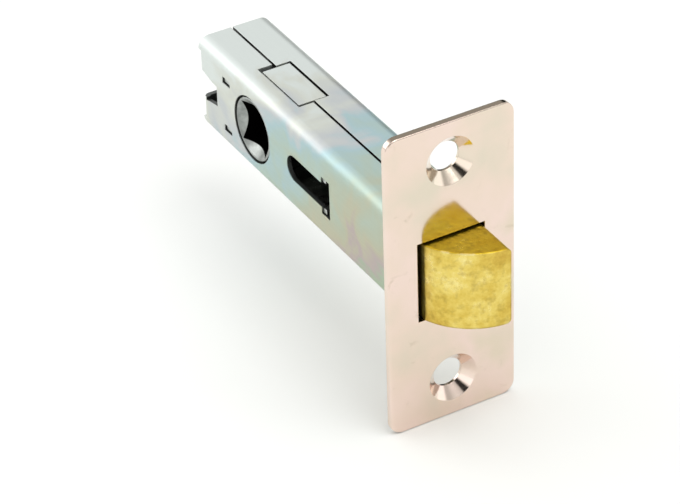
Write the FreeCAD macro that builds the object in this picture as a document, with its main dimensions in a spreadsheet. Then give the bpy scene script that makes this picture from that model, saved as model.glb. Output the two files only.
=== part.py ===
import FreeCAD
import Part
import Sketcher
import math
import os

# Tubular door latch: a folded two-piece case on a forend plate, with a sprung brass bolt that the
# spindle follower draws back through a folded strap.
#
# Frame, in millimetres: the origin is where the middle line of the case meets the forend's front face,
# +X is the way the bolt comes out, +Z is up, and the bolt's bevel faces -Y.

SIZES = {
    # Forend plate, a little off the middle of the case, and its two dimpled screw holes
    "forend_height": 60.0,
    "forend_width": 25.0,
    "forend_thickness": 1.2,
    "forend_aside": 0.7,
    "forend_rise": 0.25,
    "forend_corner": 2.4,
    "forend_edge": 0.3,
    "screw_end_distance": 7.75,
    "screw_hole": 5.6,
    "countersink": 9.4,
    "dimple_land": 0.5,
    # Folded case
    "case_width": 15.0,
    "case_height": 18.6,
    "case_sheet": 0.9,
    "case_bend": 1.3,
    "seam_aside": 0.45,
    "seam_gap": 0.46,
    "weld_clearance": 3.0,
    # Places along the case, from the forend to the rear end
    "backset": 57.0,
    "rear_length": 19.4,
    "fixing_pitch": 38.0,
    # Bolt-through slot with its cross at the front, and the notch for the rear fixing
    "slot_height": 5.2,
    "slot_behind": 6.3,
    "slot_ahead": 5.8,
    "cross_height": 7.8,
    "cross_width": 2.9,
    "notch_height": 4.4,
    "notch_depth": 6.4,
    "notch_mouth": 6.4,
    "notch_lead": 5.0,
    "lower_setback": 0.8,
    "rear_corner": 2.4,
    # Rear end of each half, folded in above and below the notch
    "fold_bend": 0.3,
    "fold_margin": 0.2,
    # Tab of the left half that lies in a cut-out of the right half
    "tab_behind": 3.0,
    "tab_length": 13.1,
    "tab_reach": 2.8,
    "tab_root": 3.2,
    "tab_gap": 0.4,
    "tab_drop": 0.15,
    "groove_width": 0.4,
    "groove_depth": 0.25,
    "relief_rear": 1.1,
    "relief_front": 0.8,
    # Brass bolt
    "bolt_projection": 8.5,
    "bolt_inside": 13.0,
    "bevel_start": 0.1,
    "bevel_radius": 13.0,
    "bolt_edge": 0.9,
    "bolt_flat_clearance": 0.85,
    "bolt_bevel_clearance": 0.4,
    "bolt_top_clearance": 0.75,
    "window_flat_gap": 0.15,
    "window_bevel_gap": 1.2,
    "window_top_gap": 0.5,
    "window_bottom_gap": 0.15,
    # Rivet and strap behind the bolt
    "rivet": 5.0,
    "rivet_depth": 6.0,
    "rivet_head": 6.8,
    "rivet_head_height": 1.2,
    "rivet_fit": 0.04,
    "strap_sheet": 1.0,
    "strap_width": 9.5,
    "strap_bend": 0.8,
    "strap_clearance": 0.3,
    "lip_gap": 0.3,
    "lip_clearance": 0.4,
    "strap_window": 5.5,
    # Follower
    "follower_hole": 13.0,
    "boss_clearance": 0.45,
    "boss_recess": 0.25,
    "follower_end_float": 0.25,
    "shoulder": 0.6,
    "shoulder_width": 0.65,
    "spindle": 8.0,
    "lead_in": 11.4,
    "lead_in_depth": 1.3,
    "lobe_clearance": 0.55,
    "lobe_width": 5.2,
    "lobe_side_clearance": 0.3,
    "lobe_angle": 56.0,
    "lobe_span": 22.0,
    "lobe_foot": 6.0,
    # Spring and its seat
    "spring_wire": 0.9,
    "spring_coil": 9.4,
    "spring_turns": 6.0,
    "spring_end_gap": 0.05,
    "seat_sheet": 1.2,
    "seat_clearance": 0.1,
    "seat_strap_clearance": 0.4,
    "seat_tab_clearance": 0.2,
    "seat_waist": 1.7,
    "tab_end_recess": 0.35,
    # Bridge that ties the halves together behind the follower
    "bridge_sheet": 0.8,
    "bridge_height": 11.0,
    "bridge_depth": 3.0,
    "bridge_tab": 2.2,
    "bridge_clearance": 0.6,
    "stake_gap": 0.3,
}

WIRE_SIDES = 6


class Length:
    """A size as a number, with the formula of the size sheet that it comes from."""

    def __init__(self, value, formula):
        self.value = value
        self.formula = formula

    def __add__(self, other):
        other = as_length(other)
        return Length(self.value + other.value, f"({self.formula} + {other.formula})")

    def __sub__(self, other):
        other = as_length(other)
        return Length(self.value - other.value, f"({self.formula} - {other.formula})")

    def __mul__(self, other):
        other = as_length(other)
        return Length(self.value * other.value, f"({self.formula} * {other.formula})")

    def __truediv__(self, other):
        other = as_length(other)
        return Length(self.value / other.value, f"({self.formula} / {other.formula})")

    def __rmul__(self, other):
        return as_length(other) * self

    def __neg__(self):
        return as_length(-1) * self


def as_length(item):
    if isinstance(item, Length):
        return item
    return Length(float(item), f"({float(item)})")


def cosine(angle):
    return Length(math.cos(math.radians(angle.value)), f"cos({angle.formula})")


def sine(angle):
    return Length(math.sin(math.radians(angle.value)), f"sin({angle.formula})")


doc = FreeCAD.newDocument("tubular_latch")
sheet = doc.addObject("Spreadsheet::Sheet", "Sizes")
size = {}
for row, (alias, number) in enumerate(SIZES.items(), start=1):
    sheet.set(f"A{row}", alias.replace("_", " "))
    sheet.set(f"B{row}", str(number))
    sheet.setAlias(f"B{row}", alias)
    size[alias] = Length(number, f"Sizes.{alias}")
doc.recompute()


def piece(name):
    body = doc.addObject("PartDesign::Body", name)
    body.Label = name
    return body


def plane_of(body, role):
    return next(feature for feature in body.Origin.OriginFeatures if feature.Role == role)


def sketch_on(body, role, name, along=None, right=None, up=None):
    """An empty sketch on one of the body's own planes, moved along its normal, to its right or up."""
    sketch = body.newObject("Sketcher::SketchObject", name)
    sketch.AttachmentSupport = [(plane_of(body, role), "")]
    sketch.MapMode = "FlatFace"
    for axis, shift in (("x", right), ("y", up), ("z", along)):
        if shift is not None:
            sketch.setExpression(f"AttachmentOffset.Base.{axis}", shift.formula)
    return sketch


def constrain(sketch, kind, *references, length):
    index = sketch.addConstraint(Sketcher.Constraint(kind, *references, length.value))
    sketch.setExpression(f"Constraints[{index}]", length.formula)


def pin(sketch, item, end, across, upward):
    """Ties one point of a sketch to its two distances from the sketch's origin."""
    for kind, length, axis in (("DistanceX", across, -2), ("DistanceY", upward, -1)):
        length = as_length(length)
        if length.value == 0:
            sketch.addConstraint(Sketcher.Constraint("PointOnObject", item, end, axis))
        else:
            constrain(sketch, kind, -1, 1, item, end, length=length)


def arc_between(start, finish, radius, turn):
    """The short arc from start to finish, which turns left (1) or right (-1)."""
    middle = (start + finish) / 2
    chord = finish - start
    left = FreeCAD.Vector(-chord.y, chord.x, 0).normalize()
    rise = math.sqrt(radius ** 2 - (chord.Length / 2) ** 2)
    centre = middle + left * (turn * rise)
    first, last = (start, finish) if turn > 0 else (finish, start)
    first_angle = math.atan2(first.y - centre.y, first.x - centre.x)
    last_angle = math.atan2(last.y - centre.y, last.x - centre.x)
    if last_angle < first_angle:
        last_angle += 2 * math.pi
    circle = Part.Circle(centre, FreeCAD.Vector(0, 0, 1), radius)
    return Part.ArcOfCircle(circle, first_angle, last_angle)


def outline(sketch, *corners):
    """A closed outline through (x, y) corners; (x, y, radius, turn) makes the side after it an arc."""
    points = [FreeCAD.Vector(as_length(c[0]).value, as_length(c[1]).value, 0) for c in corners]
    items = []
    ends = []
    for number, corner in enumerate(corners):
        start = points[number]
        finish = points[(number + 1) % len(points)]
        if len(corner) == 4:
            items.append(sketch.addGeometry(arc_between(start, finish, corner[2].value, corner[3])))
            ends.append((1, 2) if corner[3] > 0 else (2, 1))
        else:
            items.append(sketch.addGeometry(Part.LineSegment(start, finish)))
            ends.append((1, 2))
    for number, corner in enumerate(corners):
        before = number - 1
        sketch.addConstraint(Sketcher.Constraint(
            "Coincident", items[before], ends[before][1], items[number], ends[number][0]))
        pin(sketch, items[number], ends[number][0], corner[0], corner[1])
    for number, corner in enumerate(corners):
        if len(corner) == 4:
            constrain(sketch, "Radius", items[number], length=corner[2])


def rectangle(sketch, left, bottom, right, top):
    outline(sketch, (left, bottom), (right, bottom), (right, top), (left, top))


def circle(sketch, across, upward, radius):
    centre = FreeCAD.Vector(as_length(across).value, as_length(upward).value, 0)
    item = sketch.addGeometry(Part.Circle(centre, FreeCAD.Vector(0, 0, 1), radius.value))
    pin(sketch, item, 3, across, upward)
    constrain(sketch, "Radius", item, length=radius)


def extrude(body, kind, sketch, length, side="One side", reverse=False):
    """A pad or pocket of a sketch; a pocket has to take something away."""
    doc.recompute()
    before = body.Shape.Volume if kind == "Pocket" else None
    feature = body.newObject("PartDesign::" + kind, sketch.Name + "_" + kind.lower())
    feature.Profile = sketch
    feature.SideType = side
    feature.Reversed = reverse
    feature.setExpression("Length", length.formula)
    doc.recompute()
    if before is not None and body.Shape.Volume > before - 1e-6:
        raise RuntimeError(feature.Name + " cuts nothing")
    return feature


def turn(body, kind, sketch, axis):
    """A full turn of a sketch about one of its own axes, added or cut away."""
    feature = body.newObject("PartDesign::" + kind, sketch.Name + "_" + kind.lower())
    feature.Profile = sketch
    feature.ReferenceAxis = (sketch, [axis])
    feature.Angle = 360
    doc.recompute()
    return feature


def mirror(body, role, features, name):
    feature = body.newObject("PartDesign::Mirrored", name)
    feature.Originals = features
    feature.MirrorPlane = (plane_of(body, role), [""])
    body.Tip = feature
    doc.recompute()
    return feature


# Sizes that several pieces share

sheet_metal = size["case_sheet"]
half_width = size["case_width"] / 2
half_height = size["case_height"] / 2
inner_width = half_width - sheet_metal
inner_height = half_height - sheet_metal
outer_bend = size["case_bend"] + sheet_metal
case_front = -size["forend_thickness"]
case_length = size["backset"] + size["rear_length"]
screw_height = size["forend_height"] / 2 - size["screw_end_distance"]
sink_radius = size["countersink"] / 2
screw_radius = size["screw_hole"] / 2
dimple_radius = sink_radius + size["forend_thickness"] * (math.sqrt(2) - 1)
dimple_back = screw_radius - sink_radius - size["dimple_land"]

bolt_flat = inner_width - size["bolt_flat_clearance"]
bolt_bevel = size["bolt_bevel_clearance"] - inner_width
bolt_top = inner_height - size["bolt_top_clearance"]
bolt_rear = -size["bolt_inside"]
strap_rear = bolt_rear - size["strap_sheet"]
strap_top = inner_height - size["strap_clearance"]
strap_inside = strap_top - size["strap_sheet"]

follower_x = -size["backset"]
hole_radius = size["follower_hole"] / 2
boss_radius = hole_radius - size["boss_clearance"]
shoulder_radius = hole_radius + size["shoulder"]
boss_end = half_width - size["boss_recess"]
shoulder_end = inner_width - size["follower_end_float"]
lobe_radius = inner_height - size["lobe_clearance"]
lip_height = boss_radius + size["lip_clearance"]
lip_touch = lip_height * cosine(size["lobe_angle"]) / sine(size["lobe_angle"])
lip_front = follower_x + lip_touch - size["lip_gap"]
lip_rear = lip_front - size["strap_sheet"]

slot_x = follower_x + size["fixing_pitch"] / 2
slot_top = size["slot_height"] / 2
slot_rear = slot_x - size["slot_behind"]
cross_rear = slot_x + size["slot_ahead"]
cross_front = cross_rear + size["cross_width"]
cross_top = size["cross_height"] / 2
seat_front = cross_rear + size["seat_sheet"]

tab_rear = follower_x - size["tab_behind"]
tab_front = tab_rear + size["tab_length"]
tab_end = half_width - size["tab_end_recess"]

bridge_front = follower_x - shoulder_radius - size["bridge_clearance"]
bridge_rear = bridge_front - size["bridge_depth"]
bridge_top = size["bridge_height"] / 2
bridge_inside = bridge_top - size["bridge_sheet"]
stake_front = bridge_front - (size["bridge_depth"] - size["bridge_tab"]) / 2
stake_rear = stake_front - size["bridge_tab"]

# Forend: a plate with rounded corners and the bolt window, dimpled for two countersunk screws


def front_rim(shape):
    """Names of the edges that run round the front face of the plate."""
    names = []
    for number, edge in enumerate(shape.Edges, start=1):
        box = edge.BoundBox
        if abs(box.XMin) < 1e-6 and abs(box.XMax) < 1e-6:
            names.append(f"Edge{number}")
    return names


forend = piece("forend")
aside = size["forend_aside"]
rise = size["forend_rise"]
plate = sketch_on(forend, "YZ_Plane", "forend_plate", right=-aside, up=rise)
side = size["forend_width"] / 2
top = size["forend_height"] / 2
corner = size["forend_corner"]
outline(
    plate,
    (side, corner - top), (side, top - corner, corner, 1), (side - corner, top),
    (corner - side, top, corner, 1), (-side, top - corner), (-side, corner - top, corner, 1),
    (corner - side, -top), (side - corner, -top, corner, 1),
)
blank = extrude(forend, "Pad", plate, size["forend_thickness"], reverse=True)
soft_edge = forend.newObject("PartDesign::Fillet", "forend_soft_edge")
soft_edge.Base = (blank, front_rim(blank.Shape))
soft_edge.setExpression("Radius", size["forend_edge"].formula)
doc.recompute()
window = sketch_on(forend, "YZ_Plane", "forend_window")
rectangle(
    window, bolt_bevel - size["window_bevel_gap"], -bolt_top - size["window_bottom_gap"],
    bolt_flat + size["window_flat_gap"], bolt_top + size["window_top_gap"],
)
extrude(forend, "Pocket", window, 4 * size["forend_thickness"], side="Symmetric")
for end, level in (("upper", rise + screw_height), ("lower", rise - screw_height)):
    dimple = sketch_on(forend, "XZ_Plane", end + "_dimple", along=aside, up=level)
    outline(
        dimple,
        (case_front / 2, 0), (case_front / 2, sink_radius), (case_front, dimple_radius),
        (dimple_back, dimple_radius + dimple_back + size["forend_thickness"]), (dimple_back, 0),
    )
    turn(forend, "Revolution", dimple, "H_Axis")
    sink = sketch_on(forend, "XZ_Plane", end + "_countersink", along=aside, up=level)
    outline(
        sink,
        (0, 0), (0, sink_radius), (screw_radius - sink_radius, screw_radius),
        (dimple_back, screw_radius), (dimple_back, 0),
    )
    turn(forend, "Groove", sink, "H_Axis")


def case_half(name, way):
    """One folded half of the case: way is -1 for the left wall and 1 for the right wall."""
    body = piece(name)
    edge = size["seam_gap"] * (way / 2) - size["seam_aside"]
    wall = way * half_width
    inner_wall = way * inner_width
    bend_side = way * (half_width - outer_bend)
    bend_top = half_height - outer_bend
    section = sketch_on(body, "YZ_Plane", name + "_section", along=case_front)
    outline(
        section,
        (edge, half_height), (bend_side, half_height, outer_bend, -way), (wall, bend_top),
        (wall, -bend_top, outer_bend, -way), (bend_side, -half_height), (edge, -half_height),
        (edge, -inner_height), (bend_side, -inner_height, size["case_bend"], way),
        (inner_wall, -bend_top), (inner_wall, bend_top, size["case_bend"], way),
        (bend_side, inner_height), (edge, inner_height),
    )
    extrude(body, "Pad", section, case_length + case_front, reverse=True)

    weld_top = screw_height - dimple_radius - size["weld_clearance"]
    weld = sketch_on(body, "YZ_Plane", name + "_weld_flange", along=case_front)
    near, far = (bend_side, edge) if way < 0 else (edge, bend_side)
    rectangle(weld, near, inner_height, far, weld_top)
    flange = extrude(body, "Pad", weld, sheet_metal, reverse=True)
    mirror(body, "XY_Plane", [flange], name + "_lower_weld_flange")

    openings = sketch_on(body, "XZ_Plane", name + "_openings")
    circle(openings, follower_x, 0, hole_radius)
    outline(
        openings,
        (slot_rear, 0, slot_top, 1), (slot_rear + slot_top, -slot_top), (cross_rear, -slot_top),
        (cross_rear, -cross_top), (cross_front, -cross_top), (cross_front, cross_top),
        (cross_rear, cross_top), (cross_rear, slot_top), (slot_rear + slot_top, slot_top, slot_top, 1),
    )
    notch_top = size["notch_height"] / 2
    notch_front = size["notch_depth"] - case_length
    mouth = size["notch_mouth"] / 2
    lead = size["notch_lead"] - case_length
    lower_end = size["lower_setback"] - case_length
    rounding = size["rear_corner"]
    beyond = -case_length - sheet_metal
    below = -half_height - sheet_metal
    outline(
        openings,
        (beyond, mouth), (beyond, below), (lower_end + rounding, below),
        (lower_end + rounding, -half_height, rounding, -1), (lower_end, rounding - half_height),
        (lower_end, -mouth), (lead + size["lower_setback"], -notch_top), (notch_front, -notch_top),
        (notch_front, notch_top), (lead, notch_top), (-case_length, mouth),
    )
    gap = size["stake_gap"]
    for level in (bridge_inside, -bridge_top):
        rectangle(
            openings, stake_rear - gap, level - gap, stake_front + gap,
            level + size["bridge_sheet"] + gap,
        )
    extrude(body, "Pocket", openings, 4 * half_width, side="Symmetric")

    bend = size["fold_bend"]
    outside = bend + sheet_metal
    for end, rear, start, finish, lower in (
        ("upper", -case_length, mouth, bend_top, False),
        ("lower", lower_end, notch_top + size["fold_margin"], half_height - rounding, True),
    ):
        level = -start if lower else start
        fold = sketch_on(body, "XY_Plane", f"{name}_{end}_rear_fold", along=level)
        outline(
            fold,
            (rear, wall), (rear, edge), (rear + sheet_metal, edge),
            (rear + sheet_metal, inner_wall - way * bend, bend, -way),
            (rear + outside, inner_wall), (rear + outside, wall),
        )
        extrude(body, "Pad", fold, finish - start, reverse=lower)
        corner_cut = sketch_on(body, "XY_Plane", f"{name}_{end}_rear_bend")
        outline(
            corner_cut,
            (rear + outside, wall, outside, way), (rear, wall - way * outside),
            (rear - sheet_metal, wall - way * outside), (rear - sheet_metal, wall + way * sheet_metal),
            (rear + outside, wall + way * sheet_metal),
        )
        extrude(body, "Pocket", corner_cut, finish, reverse=not lower)
    return body, edge


case_left, left_edge = case_half("case_left_half", -1)
seam = -size["seam_aside"]
tab_crease = seam - size["tab_root"]
reliefs = sketch_on(case_left, "XY_Plane", "tab_reliefs")
rectangle(reliefs, tab_rear - size["relief_rear"], tab_crease, tab_rear, seam)
rectangle(reliefs, tab_front, tab_crease, tab_front + size["relief_front"], seam)
extrude(case_left, "Pocket", reliefs, 4 * half_height, side="Symmetric")
tab = sketch_on(case_left, "XY_Plane", "seam_tab", along=inner_height - size["tab_drop"])
rectangle(tab, tab_rear, tab_crease, tab_front, seam + size["tab_reach"])
upper_tab = extrude(case_left, "Pad", tab, sheet_metal)
crease = sketch_on(case_left, "XY_Plane", "tab_crease", along=half_height)
rectangle(crease, tab_rear, tab_crease, tab_front, seam)
upper_step = extrude(case_left, "Pocket", crease, size["tab_drop"])
groove = sketch_on(case_left, "XY_Plane", "tab_groove", along=half_height)
rectangle(groove, tab_rear, tab_crease, tab_front, tab_crease + size["groove_width"])
upper_groove = extrude(case_left, "Pocket", groove, size["tab_drop"] + size["groove_depth"])
mirror(case_left, "XY_Plane", [upper_tab, upper_step, upper_groove], "lower_seam_tab")

case_right, right_edge = case_half("case_right_half", 1)
cut_out = sketch_on(case_right, "XY_Plane", "tab_cut_out")
rectangle(
    cut_out, tab_rear - size["tab_gap"], seam - size["tab_gap"],
    tab_front + size["tab_gap"], seam + size["tab_reach"] + size["tab_gap"],
)
extrude(case_right, "Pocket", cut_out, 4 * half_height, side="Symmetric")

# Latch bolt: a bar with a curved bevel, rounded along its flat side, and a blind rivet hole behind

latch_bolt = piece("latch_bolt")
plan = sketch_on(latch_bolt, "XY_Plane", "bolt_plan")
outline(
    plan,
    (bolt_rear, bolt_bevel), (size["bevel_start"], bolt_bevel, size["bevel_radius"], 1),
    (size["bolt_projection"], bolt_flat), (bolt_rear, bolt_flat),
)
extrude(latch_bolt, "Pad", plan, 2 * bolt_top, side="Symmetric")
rounded = sketch_on(latch_bolt, "YZ_Plane", "bolt_rounded_edges")
edge_round = size["bolt_edge"]
edge_out = bolt_flat + edge_round
top_out = bolt_top + edge_round
for way in (1, -1):
    outline(
        rounded,
        (bolt_flat - edge_round, way * bolt_top, edge_round, -way),
        (bolt_flat, way * (bolt_top - edge_round)), (edge_out, way * (bolt_top - edge_round)),
        (edge_out, way * top_out), (bolt_flat - edge_round, way * top_out),
    )
bolt_reach = 2 * (size["bolt_inside"] + size["bolt_projection"])
extrude(latch_bolt, "Pocket", rounded, bolt_reach, side="Symmetric")
rivet_radius = size["rivet"] / 2
rivet_hole = sketch_on(latch_bolt, "YZ_Plane", "bolt_rivet_hole", along=bolt_rear)
circle(rivet_hole, 0, 0, rivet_radius + size["rivet_fit"])
extrude(latch_bolt, "Pocket", rivet_hole, size["rivet_depth"] + size["rivet_fit"], reverse=True)

# Bolt strap: one strip folded round the back of the bolt, with a lip behind each follower lobe

bolt_strap = piece("bolt_strap")
strap_section = sketch_on(bolt_strap, "XZ_Plane", "strap_section")
strap_bend = size["strap_bend"]
strap_outer_bend = strap_bend + size["strap_sheet"]
leg_start = bolt_rear - strap_outer_bend
bend_level = strap_top - strap_outer_bend
outline(
    strap_section,
    (bolt_rear, -bend_level), (bolt_rear, bend_level, strap_outer_bend, 1), (leg_start, strap_top),
    (lip_rear, strap_top), (lip_rear, lip_height), (lip_front, lip_height),
    (lip_front, strap_inside), (leg_start, strap_inside, strap_bend, -1), (strap_rear, bend_level),
    (strap_rear, -bend_level, strap_bend, -1), (leg_start, -strap_inside),
    (lip_front, -strap_inside), (lip_front, -lip_height), (lip_rear, -lip_height),
    (lip_rear, -strap_top), (leg_start, -strap_top, strap_outer_bend, 1),
)
extrude(bolt_strap, "Pad", strap_section, size["strap_width"], side="Symmetric")
lobe_windows = sketch_on(bolt_strap, "XY_Plane", "strap_windows")
window_side = size["lobe_width"] / 2 + size["lobe_side_clearance"]
rectangle(lobe_windows, lip_front, -window_side, lip_front + size["strap_window"], window_side)
extrude(bolt_strap, "Pocket", lobe_windows, 4 * half_height, side="Symmetric")
strap_hole = sketch_on(bolt_strap, "YZ_Plane", "strap_rivet_hole", along=strap_rear)
circle(strap_hole, 0, 0, rivet_radius + size["rivet_fit"])
extrude(bolt_strap, "Pocket", strap_hole, 4 * size["strap_sheet"], side="Symmetric")

# Rivet: a plain shank in the bolt with a closing head behind the strap

bolt_rivet = piece("bolt_rivet")
rivet_section = sketch_on(bolt_rivet, "XY_Plane", "rivet_section")
head_rear = strap_rear - size["rivet_head_height"]
outline(
    rivet_section,
    (bolt_rear + size["rivet_depth"], 0), (bolt_rear + size["rivet_depth"], rivet_radius),
    (strap_rear, rivet_radius), (strap_rear, size["rivet_head"] / 2),
    (strap_rear - size["rivet_head_height"] / 2, size["rivet_head"] / 2),
    (head_rear, rivet_radius), (head_rear, 0),
)
turn(bolt_rivet, "Revolution", rivet_section, "H_Axis")

# Follower: a hub with shoulders inside the walls, two lobes, and a square hole with conical mouths

follower = piece("follower")
hub = sketch_on(follower, "XY_Plane", "hub_section", right=follower_x)
shoulder_inside = shoulder_end - size["shoulder_width"]
outline(
    hub,
    (0, -boss_end), (boss_radius, -boss_end), (boss_radius, -shoulder_end),
    (shoulder_radius, -shoulder_end), (shoulder_radius, -shoulder_inside),
    (boss_radius, -shoulder_inside), (boss_radius, shoulder_inside),
    (shoulder_radius, shoulder_inside), (shoulder_radius, shoulder_end),
    (boss_radius, shoulder_end), (boss_radius, boss_end), (0, boss_end),
)
turn(follower, "Revolution", hub, "V_Axis")
lobes = sketch_on(follower, "XZ_Plane", "hub_lobes", right=follower_x)
root_radius = boss_radius * 0.85
lobe_rear = size["lobe_angle"]
lobe_tip = lobe_rear - size["lobe_span"]
lobe_root = lobe_tip - size["lobe_foot"]
for way in (1, -1):
    outline(
        lobes,
        (root_radius * cosine(lobe_rear), way * (root_radius * sine(lobe_rear))),
        (lobe_radius * cosine(lobe_rear), way * (lobe_radius * sine(lobe_rear)), lobe_radius, -way),
        (lobe_radius * cosine(lobe_tip), way * (lobe_radius * sine(lobe_tip))),
        (root_radius * cosine(lobe_root), way * (root_radius * sine(lobe_root))),
    )
extrude(follower, "Pad", lobes, size["lobe_width"], side="Symmetric")
square = sketch_on(follower, "XZ_Plane", "spindle_hole", right=follower_x)
half_square = size["spindle"] / 2
rectangle(square, -half_square, -half_square, half_square, half_square)
extrude(follower, "Pocket", square, 4 * half_width, side="Symmetric")
mouth_cone = sketch_on(follower, "XY_Plane", "spindle_lead_in", right=follower_x)
outline(
    mouth_cone,
    (0, -boss_end), (size["lead_in"] / 2, -boss_end),
    (half_square, size["lead_in_depth"] - boss_end), (0, size["lead_in_depth"] - boss_end),
)
near_mouth = turn(follower, "Groove", mouth_cone, "V_Axis")
mirror(follower, "XZ_Plane", [near_mouth], "far_lead_in")

# Spring seat: a waisted plate across the case whose four tabs bear on the shoulders of the slot crosses

spring_seat = piece("spring_seat")
seat = sketch_on(spring_seat, "YZ_Plane", "seat_outline", along=cross_rear)
seat_side = inner_width - size["seat_clearance"]
seat_top = strap_inside - size["seat_strap_clearance"]
tab_low = slot_top + size["seat_tab_clearance"]
tab_high = cross_top - size["seat_tab_clearance"]
waist = seat_side - size["seat_waist"]
outline(
    seat,
    (seat_side, -seat_top), (seat_side, -tab_high), (tab_end, -tab_high), (tab_end, -tab_low),
    (waist, -tab_low), (waist, tab_low), (tab_end, tab_low), (tab_end, tab_high),
    (seat_side, tab_high), (seat_side, seat_top), (-seat_side, seat_top), (-seat_side, tab_high),
    (-tab_end, tab_high), (-tab_end, tab_low), (-waist, tab_low), (-waist, -tab_low),
    (-tab_end, -tab_low), (-tab_end, -tab_high), (-seat_side, -tab_high), (-seat_side, -seat_top),
)
extrude(spring_seat, "Pad", seat, size["seat_sheet"])

# Bolt spring: a compression coil between the seat and the strap, its wire simplified to flat sides

bolt_spring = piece("bolt_spring")
wire = sketch_on(bolt_spring, "XY_Plane", "spring_wire_section")
wire_radius = size["spring_wire"] / 2
coil_radius = (size["spring_coil"] - size["spring_wire"]) / 2
wire_start = seat_front + wire_radius + size["spring_end_gap"]
wire_corners = []
for side in range(WIRE_SIDES):
    direction = math.radians((side + 0.5) * 360 / WIRE_SIDES)
    wire_corners.append((
        wire_start + wire_radius * math.cos(direction),
        coil_radius + wire_radius * math.sin(direction),
    ))
outline(wire, *wire_corners)
coil = bolt_spring.newObject("PartDesign::AdditiveHelix", "spring_coils")
coil.Profile = wire
coil.ReferenceAxis = (wire, ["H_Axis"])
coil.Mode = "height-turns-angle"
spring_height = strap_rear - seat_front - size["spring_wire"] - 2 * size["spring_end_gap"]
coil.setExpression("Height", spring_height.formula)
coil.setExpression("Turns", size["spring_turns"].formula)
doc.recompute()

# Rear bridge: a small channel across the case with tabs staked in both walls

rear_bridge = piece("rear_bridge")
channel = sketch_on(rear_bridge, "XZ_Plane", "bridge_section")
web_rear = bridge_front - size["bridge_sheet"]
outline(
    channel,
    (bridge_front, -bridge_top), (bridge_front, bridge_top), (bridge_rear, bridge_top),
    (bridge_rear, bridge_inside), (web_rear, bridge_inside), (web_rear, -bridge_inside),
    (bridge_rear, -bridge_inside), (bridge_rear, -bridge_top),
)
extrude(rear_bridge, "Pad", channel, 2 * seat_side, side="Symmetric")
stakes = sketch_on(rear_bridge, "XZ_Plane", "bridge_tabs")
for level in (bridge_inside, -bridge_top):
    rectangle(stakes, stake_rear, level, stake_front, level + size["bridge_sheet"])
extrude(rear_bridge, "Pad", stakes, 2 * tab_end, side="Symmetric")

# Every feature has to be sound before anything is written

doc.recompute()
for item in doc.Objects:
    if "Invalid" in item.State or "Error" in item.State:
        raise RuntimeError(item.Name + " failed")
bodies = [item for item in doc.Objects if item.TypeId == "PartDesign::Body"]
for body in bodies:
    if body.Shape.isNull() or not body.Shape.isValid():
        raise RuntimeError(body.Label + " has no sound shape")
    if len(body.Shape.Solids) != 1:
        raise RuntimeError(body.Label + " is not one solid")

os.makedirs("parts", exist_ok=True)
for body in bodies:
    body.Shape.exportStep(f"parts/{body.Label}.step")
    box = body.Shape.BoundBox
    print(
        f"{body.Label}: {body.Shape.Volume:.1f} mm3, x {box.XMin:.2f} {box.XMax:.2f},"
        f" y {box.YMin:.2f} {box.YMax:.2f}, z {box.ZMin:.2f} {box.ZMax:.2f}"
    )
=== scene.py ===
import math

import bmesh
import bpy
from mathutils import Matrix, Vector


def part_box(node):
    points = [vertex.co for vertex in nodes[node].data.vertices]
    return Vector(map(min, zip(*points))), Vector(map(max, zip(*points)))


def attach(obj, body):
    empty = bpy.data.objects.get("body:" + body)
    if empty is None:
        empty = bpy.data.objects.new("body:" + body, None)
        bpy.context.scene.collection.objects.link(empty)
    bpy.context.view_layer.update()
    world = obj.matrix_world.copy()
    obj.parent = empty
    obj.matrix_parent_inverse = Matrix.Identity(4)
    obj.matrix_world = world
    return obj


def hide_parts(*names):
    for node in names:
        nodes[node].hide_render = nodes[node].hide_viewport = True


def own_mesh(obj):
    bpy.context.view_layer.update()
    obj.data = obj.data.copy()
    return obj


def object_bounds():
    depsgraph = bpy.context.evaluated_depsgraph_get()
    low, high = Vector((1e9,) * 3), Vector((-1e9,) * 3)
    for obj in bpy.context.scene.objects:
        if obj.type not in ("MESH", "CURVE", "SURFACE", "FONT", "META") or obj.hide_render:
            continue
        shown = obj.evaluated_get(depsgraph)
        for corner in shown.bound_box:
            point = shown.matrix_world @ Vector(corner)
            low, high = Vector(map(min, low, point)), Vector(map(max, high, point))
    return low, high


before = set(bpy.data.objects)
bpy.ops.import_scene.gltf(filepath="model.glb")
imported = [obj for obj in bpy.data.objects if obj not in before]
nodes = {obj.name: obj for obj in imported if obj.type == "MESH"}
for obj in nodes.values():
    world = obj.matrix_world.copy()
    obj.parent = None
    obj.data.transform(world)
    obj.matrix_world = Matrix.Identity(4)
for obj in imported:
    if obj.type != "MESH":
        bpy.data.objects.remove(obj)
cad_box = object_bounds()

MM = 0.001


# Colours, sizes and nodes


def colour(code):
    """A linear RGBA colour from an sRGB hex value."""
    channels = [int(code[i:i + 2], 16) / 255 for i in (1, 3, 5)]
    linear = [c / 12.92 if c <= 0.04045 else ((c + 0.055) / 1.055) ** 2.4 for c in channels]
    return (*linear, 1.0)


def per_metre(millimetres):
    """The texture scale whose pattern repeats about once in that many millimetres."""
    return 1 / (millimetres * MM)


def add(owner, kind, inputs=None, stops=None, **settings):
    """A node of a material or of the world, with its settings, its inputs as values or links, and the stops
    of its colour ramp."""
    tree = owner.node_tree
    node = tree.nodes.new(kind)
    for name, value in settings.items():
        setattr(node, name, value)
    for name, value in (inputs or {}).items():
        socket = node.inputs[name]
        if isinstance(value, bpy.types.NodeSocket):
            tree.links.new(value, socket)
        else:
            socket.default_value = value
    if stops:
        ramp = node.color_ramp.elements
        while len(ramp) < len(stops):
            ramp.new(1.0)
        for element, (place, code) in zip(ramp, stops):
            element.position = place
            element.color = colour(code)
    return node


def finish_named(name):
    """A new material with no nodes yet."""
    material = bpy.data.materials.new(name)
    material.use_nodes = True
    material.node_tree.nodes.clear()
    return material


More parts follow.
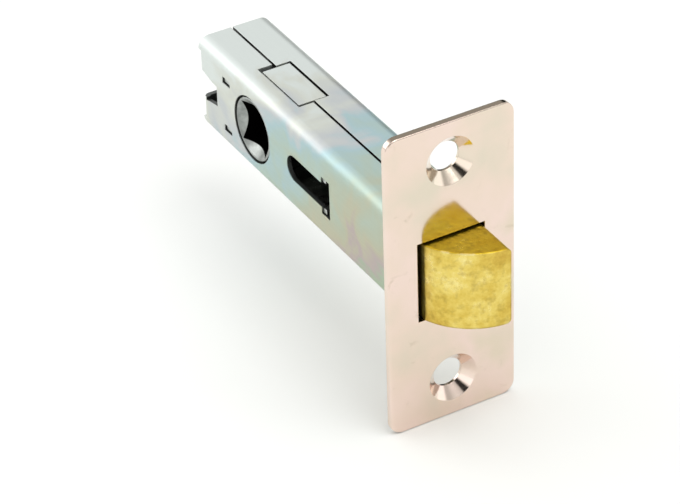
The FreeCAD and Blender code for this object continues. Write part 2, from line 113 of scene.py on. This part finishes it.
def metal_surface(material, base, polish, skin):
    """The material as a bare metal, made of its colour, its roughness and the normals of its skin."""
    surface = add(
        material, "ShaderNodeBsdfPrincipled",
        {"Metallic": 1.0, "Base Color": base, "Roughness": polish.outputs["Result"],
         "Normal": skin.outputs["Normal"]},
    )
    add(material, "ShaderNodeOutputMaterial", {"Surface": surface.outputs["BSDF"]})
    return material


# Forend


def nickel_plate():
    """Satin nickel on pressed steel: warm, slightly pink and nearly mirror-like, with faint greenish clouds
    where the plate is thin, a few small stains, and dull brown ends where the strip was cropped."""
    material = finish_named("satin_nickel_plated_pressed_steel")
    place = add(material, "ShaderNodeTexCoord").outputs["Object"]
    clouds = add(material, "ShaderNodeTexNoise", {"Vector": place, "Scale": per_metre(14), "Detail": 3.0})
    tint = add(
        material, "ShaderNodeValToRGB", {"Fac": clouds.outputs["Fac"]},
        stops=[(0.3, "#dfd4c2"), (0.46, "#ead7c8"), (0.58, "#eed9ce"), (0.72, "#e3d5c2")],
    )
    spots = add(
        material, "ShaderNodeTexNoise",
        {"Vector": place, "Scale": per_metre(3.5), "Detail": 5.0, "Roughness": 0.65, "Distortion": 0.6},
    )
    stain = add(
        material, "ShaderNodeMapRange",
        {"Value": spots.outputs["Fac"], "From Min": 0.62, "From Max": 0.76, "To Min": 0.0, "To Max": 0.5},
    )
    stained = add(
        material, "ShaderNodeMix",
        {0: stain.outputs["Result"], 6: tint.outputs["Color"], 7: colour("#bfae95")}, data_type="RGBA",
    )
    normal = add(material, "ShaderNodeNewGeometry").outputs["Normal"]
    facing = add(material, "ShaderNodeSeparateXYZ", {"Vector": normal})
    upward = add(material, "ShaderNodeMath", {0: facing.outputs["Z"]}, operation="ABSOLUTE")
    cropped = add(
        material, "ShaderNodeMapRange",
        {"Value": upward.outputs["Value"], "From Min": 0.75, "From Max": 0.95},
    )
    sheared = add(
        material, "ShaderNodeMix",
        {0: cropped.outputs["Result"], 6: stained.outputs[2], 7: colour("#85796b")}, data_type="RGBA",
    )
    grain = add(
        material, "ShaderNodeTexNoise",
        {"Vector": place, "Scale": per_metre(0.5), "Detail": 4.0, "Roughness": 0.6},
    )
    polish = add(
        material, "ShaderNodeMapRange",
        {"Value": grain.outputs["Fac"], "From Min": 0.3, "From Max": 0.7, "To Min": 0.1, "To Max": 0.15},
    )
    rounded = add(material, "ShaderNodeBevel", {"Radius": 0.15 * MM}, samples=4)
    skin = add(
        material, "ShaderNodeBump",
        {"Strength": 0.05, "Distance": 0.02 * MM, "Height": grain.outputs["Fac"],
         "Normal": rounded.outputs["Normal"]},
    )
    return metal_surface(material, sheared.outputs[2], polish, skin)


# Case: the film's colours and the painted shade in the seam, inside and round the openings follow its sizes

CASE_SHEET = 0.9 * MM
CASE_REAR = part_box("case_left_half")[0].x
CASE_HALF_WIDTH = -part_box("case_left_half")[0].y
CASE_HALF_HEIGHT = 9.3 * MM
BEND_LEVEL = 7.4 * MM
FILM_REAR = -76 * MM
FILM_FRONT = -1 * MM
FOLD_FRONT = CASE_REAR + CASE_SHEET - 0.1 * MM
FLANGE_LEVEL = 8 * MM
SEAM_REACH = 5.5 * MM
INSIDE_HALF_WIDTH = CASE_HALF_WIDTH - CASE_SHEET + 0.05 * MM
INSIDE_HALF_HEIGHT = CASE_HALF_HEIGHT - CASE_SHEET + 0.05 * MM
CUT_EDGE_HALF_WIDTH = CASE_HALF_WIDTH - 0.15 * MM
OPENINGS_HALF_HEIGHT = 6.9 * MM


def film_colour(material, place):
    """The passivation's colour: the film grows thicker toward the front and low down, is thinner on the top,
    and drifts in clouds. The colours darken from rear to front: partly the film, partly painted shade."""
    parts = add(material, "ShaderNodeSeparateXYZ", {"Vector": place})
    # Partly painted shade: along the case the ramp runs from the pale rear to the darker front
    along = add(
        material, "ShaderNodeMapRange",
        {"Value": parts.outputs["X"], "From Min": FILM_REAR, "From Max": FILM_FRONT, "To Min": 0.03,
         "To Max": 0.93},
    )
    drained = add(
        material, "ShaderNodeMapRange",
        {"Value": parts.outputs["Z"], "From Min": -CASE_HALF_HEIGHT, "From Max": CASE_HALF_HEIGHT,
         "To Min": 0.15, "To Max": -0.15},
    )
    thinned = add(
        material, "ShaderNodeMapRange",
        {"Value": parts.outputs["Z"], "From Min": BEND_LEVEL, "From Max": CASE_HALF_HEIGHT, "To Min": 0.0,
         "To Max": -0.09},
    )
    clouds = add(
        material, "ShaderNodeTexNoise",
        {"Vector": place, "Scale": per_metre(10), "Detail": 3.0, "Roughness": 0.5, "Distortion": 0.7},
    )
    drift = add(
        material, "ShaderNodeMapRange",
        {"Value": clouds.outputs["Fac"], "From Min": 0.3, "From Max": 0.7, "To Min": -0.16, "To Max": 0.16},
    )
    film = along.outputs["Result"]
    for change in (drained, thinned, drift):
        film = add(
            material, "ShaderNodeMath", {0: film, 1: change.outputs["Result"]}, operation="ADD",
        ).outputs["Value"]
    return add(
        material, "ShaderNodeValToRGB", {"Fac": film},
        stops=[(0.0, "#d9dfdc"), (0.12, "#d2d5cd"), (0.24, "#c6cacb"), (0.34, "#b0c8cc"), (0.46, "#b4c6bd"),
               (0.58, "#bac2b0"), (0.7, "#c1bfa8"), (0.8, "#beb1af"), (0.9, "#b0bea8")],
    ).outputs["Color"]


def with_painted_shade(material, place, base):
    """The given colour, with painted shade in dark grey: on the cut edges along the seam, on the inside,
    and on the cut edges round the openings."""
    along = add(material, "ShaderNodeSeparateXYZ", {"Vector": place}).outputs["X"]
    normal = add(material, "ShaderNodeNewGeometry").outputs["Normal"]
    either_way = []
    for vector in (place, normal):
        size = add(material, "ShaderNodeVectorMath", {0: vector}, operation="ABSOLUTE")
        parts = add(material, "ShaderNodeSeparateXYZ", {"Vector": size.outputs["Vector"]})
        either_way.append(parts.outputs)
    off_middle, facing = either_way
    ahead_of_fold = (along, "GREATER_THAN", FOLD_FRONT)
    # Painted shade, in turn: dark grey on the seam's cut edges, grey on the inside and on the cut edges
    # round the openings
    for code, tests in (
        ("#3c3c3a", [(facing["Y"], "GREATER_THAN", 0.5),
                     (off_middle["Z"], "GREATER_THAN", FLANGE_LEVEL),
                     (off_middle["Y"], "LESS_THAN", SEAM_REACH)]),
        ("#6a6d6b", [ahead_of_fold,
                     (off_middle["Y"], "LESS_THAN", INSIDE_HALF_WIDTH),
                     (off_middle["Z"], "LESS_THAN", INSIDE_HALF_HEIGHT)]),
        ("#6a6d6b", [ahead_of_fold,
                     (off_middle["Y"], "LESS_THAN", CUT_EDGE_HALF_WIDTH),
                     (off_middle["Z"], "LESS_THAN", OPENINGS_HALF_HEIGHT)]),
    ):
        dark = 1.0
        for value, test, bound in tests:
            passed = add(material, "ShaderNodeMath", {0: value, 1: bound}, operation=test)
            dark = add(
                material, "ShaderNodeMath", {0: dark, 1: passed.outputs["Value"]}, operation="MULTIPLY",
            ).outputs["Value"]
        base = add(
            material, "ShaderNodeMix", {0: dark, 6: base, 7: colour(code)}, data_type="RGBA",
        ).outputs[2]
    return base


def zinc_plate():
    """Bright zinc with a clear passivation on folded steel: pale silver that drifts through blue, green,
    straw and violet as the film's thickness changes, over a fine rolled grain along the case. The cut
    edges along the seam and round the openings, and the inside, carry painted shade in dark grey."""
    material = finish_named("zinc_plated_passivated_folded_steel")
    place = add(material, "ShaderNodeTexCoord").outputs["Object"]
    # The film's colours, with painted shade on the seam's edges, the inside and the openings' edges
    base = with_painted_shade(material, place, film_colour(material, place))
    rolled = add(
        material, "ShaderNodeMapping",
        {"Vector": place, "Scale": (per_metre(9), per_metre(0.5), per_metre(0.5))},
    )
    grain = add(
        material, "ShaderNodeTexNoise", {"Vector": rolled.outputs["Vector"], "Scale": 1.0, "Detail": 3.0},
    )
    polish = add(
        material, "ShaderNodeMapRange",
        {"Value": grain.outputs["Fac"], "From Min": 0.3, "From Max": 0.7, "To Min": 0.44, "To Max": 0.52},
    )
    waves = add(material, "ShaderNodeTexNoise", {"Vector": place, "Scale": per_metre(7), "Detail": 1.0})
    rounded = add(material, "ShaderNodeBevel", {"Radius": 0.18 * MM}, samples=4)
    uneven = add(
        material, "ShaderNodeBump",
        {"Strength": 0.25, "Distance": 0.2 * MM, "Height": waves.outputs["Fac"],
         "Normal": rounded.outputs["Normal"]},
    )
    skin = add(
        material, "ShaderNodeBump",
        {"Strength": 0.05, "Distance": 0.02 * MM, "Height": grain.outputs["Fac"],
         "Normal": uneven.outputs["Normal"]},
    )
    return metal_surface(material, base, polish, skin)


# Bolt


def cast_brass():
    """Die-cast brass: bright yellow where the tumbled skin is smooth, speckled with shallow brown-gold pits
    and duller patches, rubbed pale in nicks along its edges, and deeper yellow on the flat top and bottom,
    which nothing rubs."""
    material = finish_named("die_cast_brass")
    place = add(material, "ShaderNodeTexCoord").outputs["Object"]
    patches = add(
        material, "ShaderNodeTexNoise",
        {"Vector": place, "Scale": per_metre(7), "Detail": 6.0, "Roughness": 0.72},
    )
    tint = add(
        material, "ShaderNodeValToRGB", {"Fac": patches.outputs["Fac"]},
        stops=[(0.3, "#c5a144"), (0.43, "#d9bd58"), (0.54, "#e5ce6e"), (0.68, "#f3e397")],
    )
    pits = add(
        material, "ShaderNodeTexNoise",
        {"Vector": place, "Scale": per_metre(1.3), "Detail": 3.0, "Roughness": 0.55},
    )
    pitted = add(
        material, "ShaderNodeMapRange",
        {"Value": pits.outputs["Fac"], "From Min": 0.3, "From Max": 0.5, "To Min": 0.34, "To Max": 0.0},
    )
    speckled = add(
        material, "ShaderNodeMix",
        {0: pitted.outputs["Result"], 6: tint.outputs["Color"], 7: colour("#8a6a22")}, data_type="RGBA",
    )
    normal = add(material, "ShaderNodeNewGeometry").outputs["Normal"]
    facing = add(material, "ShaderNodeSeparateXYZ", {"Vector": normal})
    upward = add(material, "ShaderNodeMath", {0: facing.outputs["Z"]}, operation="ABSOLUTE")
    flat = add(
        material, "ShaderNodeMapRange",
        {"Value": upward.outputs["Value"], "From Min": 0.8, "From Max": 0.95},
    )
    deepened = add(
        material, "ShaderNodeMix",
        {0: flat.outputs["Result"], 6: speckled.outputs[2], 7: colour("#fffd9c")}, data_type="RGBA",
        blend_type="MULTIPLY",
    )
    rounded = add(material, "ShaderNodeBevel", {"Radius": 0.55 * MM}, samples=4)
    edge = add(
        material, "ShaderNodeVectorMath",
        {0: rounded.outputs["Normal"], 1: normal}, operation="DOT_PRODUCT",
    )
    rubbed = add(
        material, "ShaderNodeMapRange",
        {"Value": edge.outputs["Value"], "From Min": 0.95, "From Max": 0.995, "To Min": 1.0, "To Max": 0.0},
    )
    nicks = add(
        material, "ShaderNodeMapRange",
        {"Value": patches.outputs["Fac"], "From Min": 0.5, "From Max": 0.54},
    )
    nicked = add(
        material, "ShaderNodeMath",
        {0: rubbed.outputs["Result"], 1: nicks.outputs["Result"]}, operation="MULTIPLY",
    )
    worn = add(
        material, "ShaderNodeMix",
        {0: nicked.outputs["Value"], 6: deepened.outputs[2], 7: colour("#f6e8a8")}, data_type="RGBA",
    )
    polish = add(
        material, "ShaderNodeMapRange",
        {"Value": patches.outputs["Fac"], "From Min": 0.3, "From Max": 0.7, "To Min": 0.36, "To Max": 0.24},
    )
    skin = add(
        material, "ShaderNodeBump",
        {"Strength": 0.5, "Distance": 0.2 * MM, "Height": pits.outputs["Fac"],
         "Normal": rounded.outputs["Normal"]},
    )
    return metal_surface(material, worn.outputs[2], polish, skin)


# Steel inside the case

SQUARE_HALF_WIDTH = 4.05 * MM
follower_low, follower_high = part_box("follower")
square_middle = (follower_low + follower_high) / 2


def bright_steel(name, light, dark, roughness, bore=None):
    """Steel inside the case, as plated strip, sintered or drawn to wire: neutral grey with a cloudy,
    slightly dull skin. Inside a square bore, given by its middle and half its width, the colour is near
    black: painted shade."""
    material = finish_named(name)
    place = add(material, "ShaderNodeTexCoord").outputs["Object"]
    clouds = add(
        material, "ShaderNodeTexNoise",
        {"Vector": place, "Scale": per_metre(3), "Detail": 4.0, "Roughness": 0.6},
    )
    base = add(
        material, "ShaderNodeValToRGB", {"Fac": clouds.outputs["Fac"]}, stops=[(0.35, dark), (0.65, light)],
    ).outputs["Color"]
    # Painted shade: the square bore is coloured near black
    if bore:
        middle, half_width = bore
        offset = add(material, "ShaderNodeVectorMath", {0: place, 1: middle}, operation="SUBTRACT")
        size = add(material, "ShaderNodeVectorMath", {0: offset.outputs["Vector"]}, operation="ABSOLUTE")
        across = add(material, "ShaderNodeSeparateXYZ", {"Vector": size.outputs["Vector"]})
        reach = add(
            material, "ShaderNodeMath",
            {0: across.outputs["X"], 1: across.outputs["Z"]}, operation="MAXIMUM",
        )
        painted_bore_shade = add(
            material, "ShaderNodeMath", {0: reach.outputs["Value"], 1: half_width}, operation="LESS_THAN",
        )
        base = add(
            material, "ShaderNodeMix",
            {0: painted_bore_shade.outputs["Value"], 6: base, 7: colour("#1d1d1c")}, data_type="RGBA",
        ).outputs[2]
    polish = add(
        material, "ShaderNodeMapRange",
        {"Value": clouds.outputs["Fac"], "From Min": 0.3, "From Max": 0.7,
         "To Min": roughness + 0.08, "To Max": roughness - 0.06},
    )
    rounded = add(material, "ShaderNodeBevel", {"Radius": 0.15 * MM}, samples=4)
    skin = add(
        material, "ShaderNodeBump",
        {"Strength": 0.15, "Distance": 0.05 * MM, "Height": clouds.outputs["Fac"],
         "Normal": rounded.outputs["Normal"]},
    )
    return metal_surface(material, base, polish, skin)


# Finish of each solid

case_zinc = zinc_plate()
strip_steel = bright_steel("zinc_plated_steel_strip", "#cdd0cd", "#b4b8b5", 0.3)
oiled_steel = bright_steel("oiled_zinc_plated_steel_strip", "#83857f", "#6b6d68", 0.3)
FINISHES = {
    "forend": nickel_plate(),
    "case_left_half": case_zinc,
    "case_right_half": case_zinc,
    "latch_bolt": cast_brass(),
    "bolt_strap": oiled_steel,
    "bolt_rivet": oiled_steel,
    "spring_seat": strip_steel,
    "rear_bridge": strip_steel,
    "follower": bright_steel(
        "zinc_plated_sintered_steel", "#b0b4b1", "#868a87", 0.34, bore=(square_middle, SQUARE_HALF_WIDTH),
    ),
}
for name, finish in FINISHES.items():
    materials = nodes[name].data.materials
    materials.clear()
    materials.append(finish)


# Bolt spring: round wire wound between the seat and the strap

WIRE_RADIUS = 0.45 * MM
WIRE_SIDES = 14
COIL_RADIUS = 4.25 * MM
TURNS = 6
STEPS_A_TURN = 48
STRAP_SHEET = 1 * MM
coil_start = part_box("spring_seat")[1].x + WIRE_RADIUS
coil_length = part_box("bolt_strap")[1].x - STRAP_SHEET - WIRE_RADIUS - coil_start
steps = TURNS * STEPS_A_TURN
wire = bmesh.new()
section = bmesh.ops.create_circle(wire, segments=WIRE_SIDES, radius=WIRE_RADIUS)
bmesh.ops.translate(wire, verts=section["verts"], vec=(coil_start, COIL_RADIUS, 0))
bmesh.ops.spin(
    wire, geom=wire.verts[:] + wire.edges[:], cent=(0, 0, 0), axis=(1, 0, 0),
    dvec=(coil_length / steps, 0, 0), angle=math.tau * TURNS, steps=steps,
)
bmesh.ops.holes_fill(wire, edges=[edge for edge in wire.edges if edge.is_boundary])
bmesh.ops.recalc_face_normals(wire, faces=wire.faces[:])
for face in wire.faces:
    face.smooth = len(face.verts) == 4
coil_mesh = bpy.data.meshes.new("bolt_spring_coil")
wire.to_mesh(coil_mesh)
wire.free()
coil = bpy.data.objects.new("bolt_spring_coil", coil_mesh)
bpy.context.scene.collection.objects.link(coil)
coil_mesh.materials.append(bright_steel("drawn_spring_wire", "#8b8c8d", "#6a6b6d", 0.28))
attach(coil, "case")
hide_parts("bolt_spring")
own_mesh(coil)


# Floor

FLOOR_REACH = 3.0
FLOOR_GAP = 0.02 * MM
FLOOR_LIFT = 0.015


def floor_white():
    """A matt white table that looks white to the camera and in the metal, and still takes shadows."""
    material = finish_named("matt_white_table")
    paint = add(material, "ShaderNodeBsdfDiffuse", {"Color": colour("#f3f4f2")})
    path = add(material, "ShaderNodeLightPath")
    seen = path.outputs["Is Camera Ray"]
    for ray in ("Is Glossy Ray", "Is Transmission Ray"):
        seen = add(
            material, "ShaderNodeMath", {0: seen, 1: path.outputs[ray]}, operation="MAXIMUM",
        ).outputs["Value"]
    lift = add(material, "ShaderNodeMath", {0: seen, 1: FLOOR_LIFT}, operation="MULTIPLY")
    glow = add(material, "ShaderNodeEmission", {"Strength": lift.outputs["Value"]})
    both = add(material, "ShaderNodeAddShader", {0: paint.outputs["BSDF"], 1: glow.outputs["Emission"]})
    add(material, "ShaderNodeOutputMaterial", {"Surface": both.outputs["Shader"]})
    return material


table = bmesh.new()
bmesh.ops.create_grid(table, x_segments=1, y_segments=1, size=FLOOR_REACH)
bmesh.ops.translate(table, verts=table.verts[:], vec=(0, 0, cad_box[0].z - FLOOR_GAP))
floor_mesh = bpy.data.meshes.new("floor")
table.to_mesh(floor_mesh)
table.free()
floor_mesh.materials.append(floor_white())
floor = bpy.data.objects.new("floor", floor_mesh)
bpy.context.scene.collection.objects.link(floor)


# Room and lamps

TOWARD_BRIGHT_END = (-0.75, -0.1, 0.65)
LATCH_MIDDLE = Vector((-30 * MM, 0, 0))


def studio_room():
    """A plain room that grows paler toward its bright end, with a white ceiling, and with two dark places
    and two white cards for the bright metal to mirror. The camera itself sees plain white."""
    world = bpy.data.worlds.new("studio")
    world.use_nodes = True
    world.node_tree.nodes.clear()
    direction = add(world, "ShaderNodeTexCoord").outputs["Generated"]
    brightness = add(
        world, "ShaderNodeVectorMath", {0: direction, 1: TOWARD_BRIGHT_END}, operation="DOT_PRODUCT",
    )
    paint = add(
        world, "ShaderNodeValToRGB", {"Fac": brightness.outputs["Value"]},
        stops=[(0.0, "#bdbdbb"), (0.45, "#d3d3d1"), (0.85, "#f6f7f6"), (1.0, "#ffffff")],
    )
    height = add(world, "ShaderNodeSeparateXYZ", {"Vector": direction})
    overhead = add(
        world, "ShaderNodeMapRange", {"Value": height.outputs["Z"], "From Min": 0.64, "From Max": 0.78},
    )
    walls = add(world, "ShaderNodeBackground", {"Color": paint.outputs["Color"], "Strength": 1.16})
    ceiling = add(world, "ShaderNodeBackground", {"Color": colour("#ffffff"), "Strength": 1.05})
    dark = add(world, "ShaderNodeBackground", {"Color": colour("#242424"), "Strength": 1.0})
    card = add(world, "ShaderNodeBackground", {"Color": colour("#ffffff"), "Strength": 1.35})
    blank = add(world, "ShaderNodeBackground", {"Color": colour("#ffffff"), "Strength": 1.0})
    room = add(
        world, "ShaderNodeMixShader",
        {0: overhead.outputs["Result"], 1: walls.outputs["Background"], 2: ceiling.outputs["Background"]},
    )
    # A patch has a direction, the cosines at its rim and its core, and its light. In turn they lie at the
    # camera, low behind the case on its right, to the right of the forend, and to its left
    for toward, rim, core, patch in (
        ((0.716, -0.4, 0.572), 0.975, 0.99, dark),
        ((-0.715, 0.69, 0.11), 0.93, 0.975, dark),
        ((0.25, 0.93, 0.27), 0.91, 0.97, card),
        ((0.65, -0.73, 0.21), 0.95, 0.985, card),
    ):
        nearness = add(world, "ShaderNodeVectorMath", {0: direction, 1: toward}, operation="DOT_PRODUCT")
        cover = add(
            world, "ShaderNodeMapRange",
            {"Value": nearness.outputs["Value"], "From Min": rim, "From Max": core},
        )
        room = add(
            world, "ShaderNodeMixShader",
            {0: cover.outputs["Result"], 1: room.outputs["Shader"], 2: patch.outputs["Background"]},
        )
    ray = add(world, "ShaderNodeLightPath")
    sky = add(
        world, "ShaderNodeMixShader",
        {0: ray.outputs["Is Camera Ray"], 1: room.outputs["Shader"], 2: blank.outputs["Background"]},
    )
    add(world, "ShaderNodeOutputWorld", {"Surface": sky.outputs["Shader"]})
    return world


def softbox(name, place, width, height, watts):
    """A soft lamp in a box, aimed at the middle of the latch."""
    lamp = bpy.data.lights.new(name, "AREA")
    lamp.shape = "RECTANGLE"
    lamp.size = width
    lamp.size_y = height
    lamp.energy = watts
    holder = bpy.data.objects.new(name, lamp)
    bpy.context.scene.collection.objects.link(holder)
    aim = LATCH_MIDDLE - Vector(place)
    holder.location = place
    holder.rotation_euler = aim.to_track_quat("-Z", "Y").to_euler()
    holder.visible_camera = False


bpy.context.scene.world = studio_room()
softbox("overhead_softbox", (0.4, 0.15, 1.0), width=0.6, height=0.6, watts=3)
softbox("rear_left_softbox", (-0.8, -0.64, 0.45), width=0.9, height=0.7, watts=2.2)


# Camera at the photograph's viewing angle

IMAGE_WIDTH = 680
FOCAL_PIXELS = 3500
SENSOR_WIDTH = 36
AZIMUTH, ELEVATION, ROLL = (math.radians(angle) for angle in (60.818, 34.888, -1.954))
DISTANCE, ACROSS, UPWARD = (length * MM for length in (589.373, -19.432, 3.269))
back = Vector((
    math.sin(AZIMUTH) * math.cos(ELEVATION),
    -math.cos(AZIMUTH) * math.cos(ELEVATION),
    math.sin(ELEVATION),
))
level = Vector((math.cos(AZIMUTH), math.sin(AZIMUTH), 0))
upright = back.cross(level)
right = level * math.cos(ROLL) + upright * math.sin(ROLL)
up = upright * math.cos(ROLL) - level * math.sin(ROLL)
lens = bpy.data.cameras.new("camera")
lens.sensor_width = SENSOR_WIDTH
lens.lens = FOCAL_PIXELS * SENSOR_WIDTH / IMAGE_WIDTH
lens.clip_start = 0.01
lens.clip_end = 20
camera = bpy.data.objects.new("camera", lens)
turned = Matrix((right, up, back)).transposed().to_4x4()
camera.matrix_world = Matrix.Translation(right * ACROSS + up * UPWARD + back * DISTANCE) @ turned
bpy.context.scene.collection.objects.link(camera)
bpy.context.scene.camera = camera
bpy.context.scene.view_settings.view_transform = "Standard"
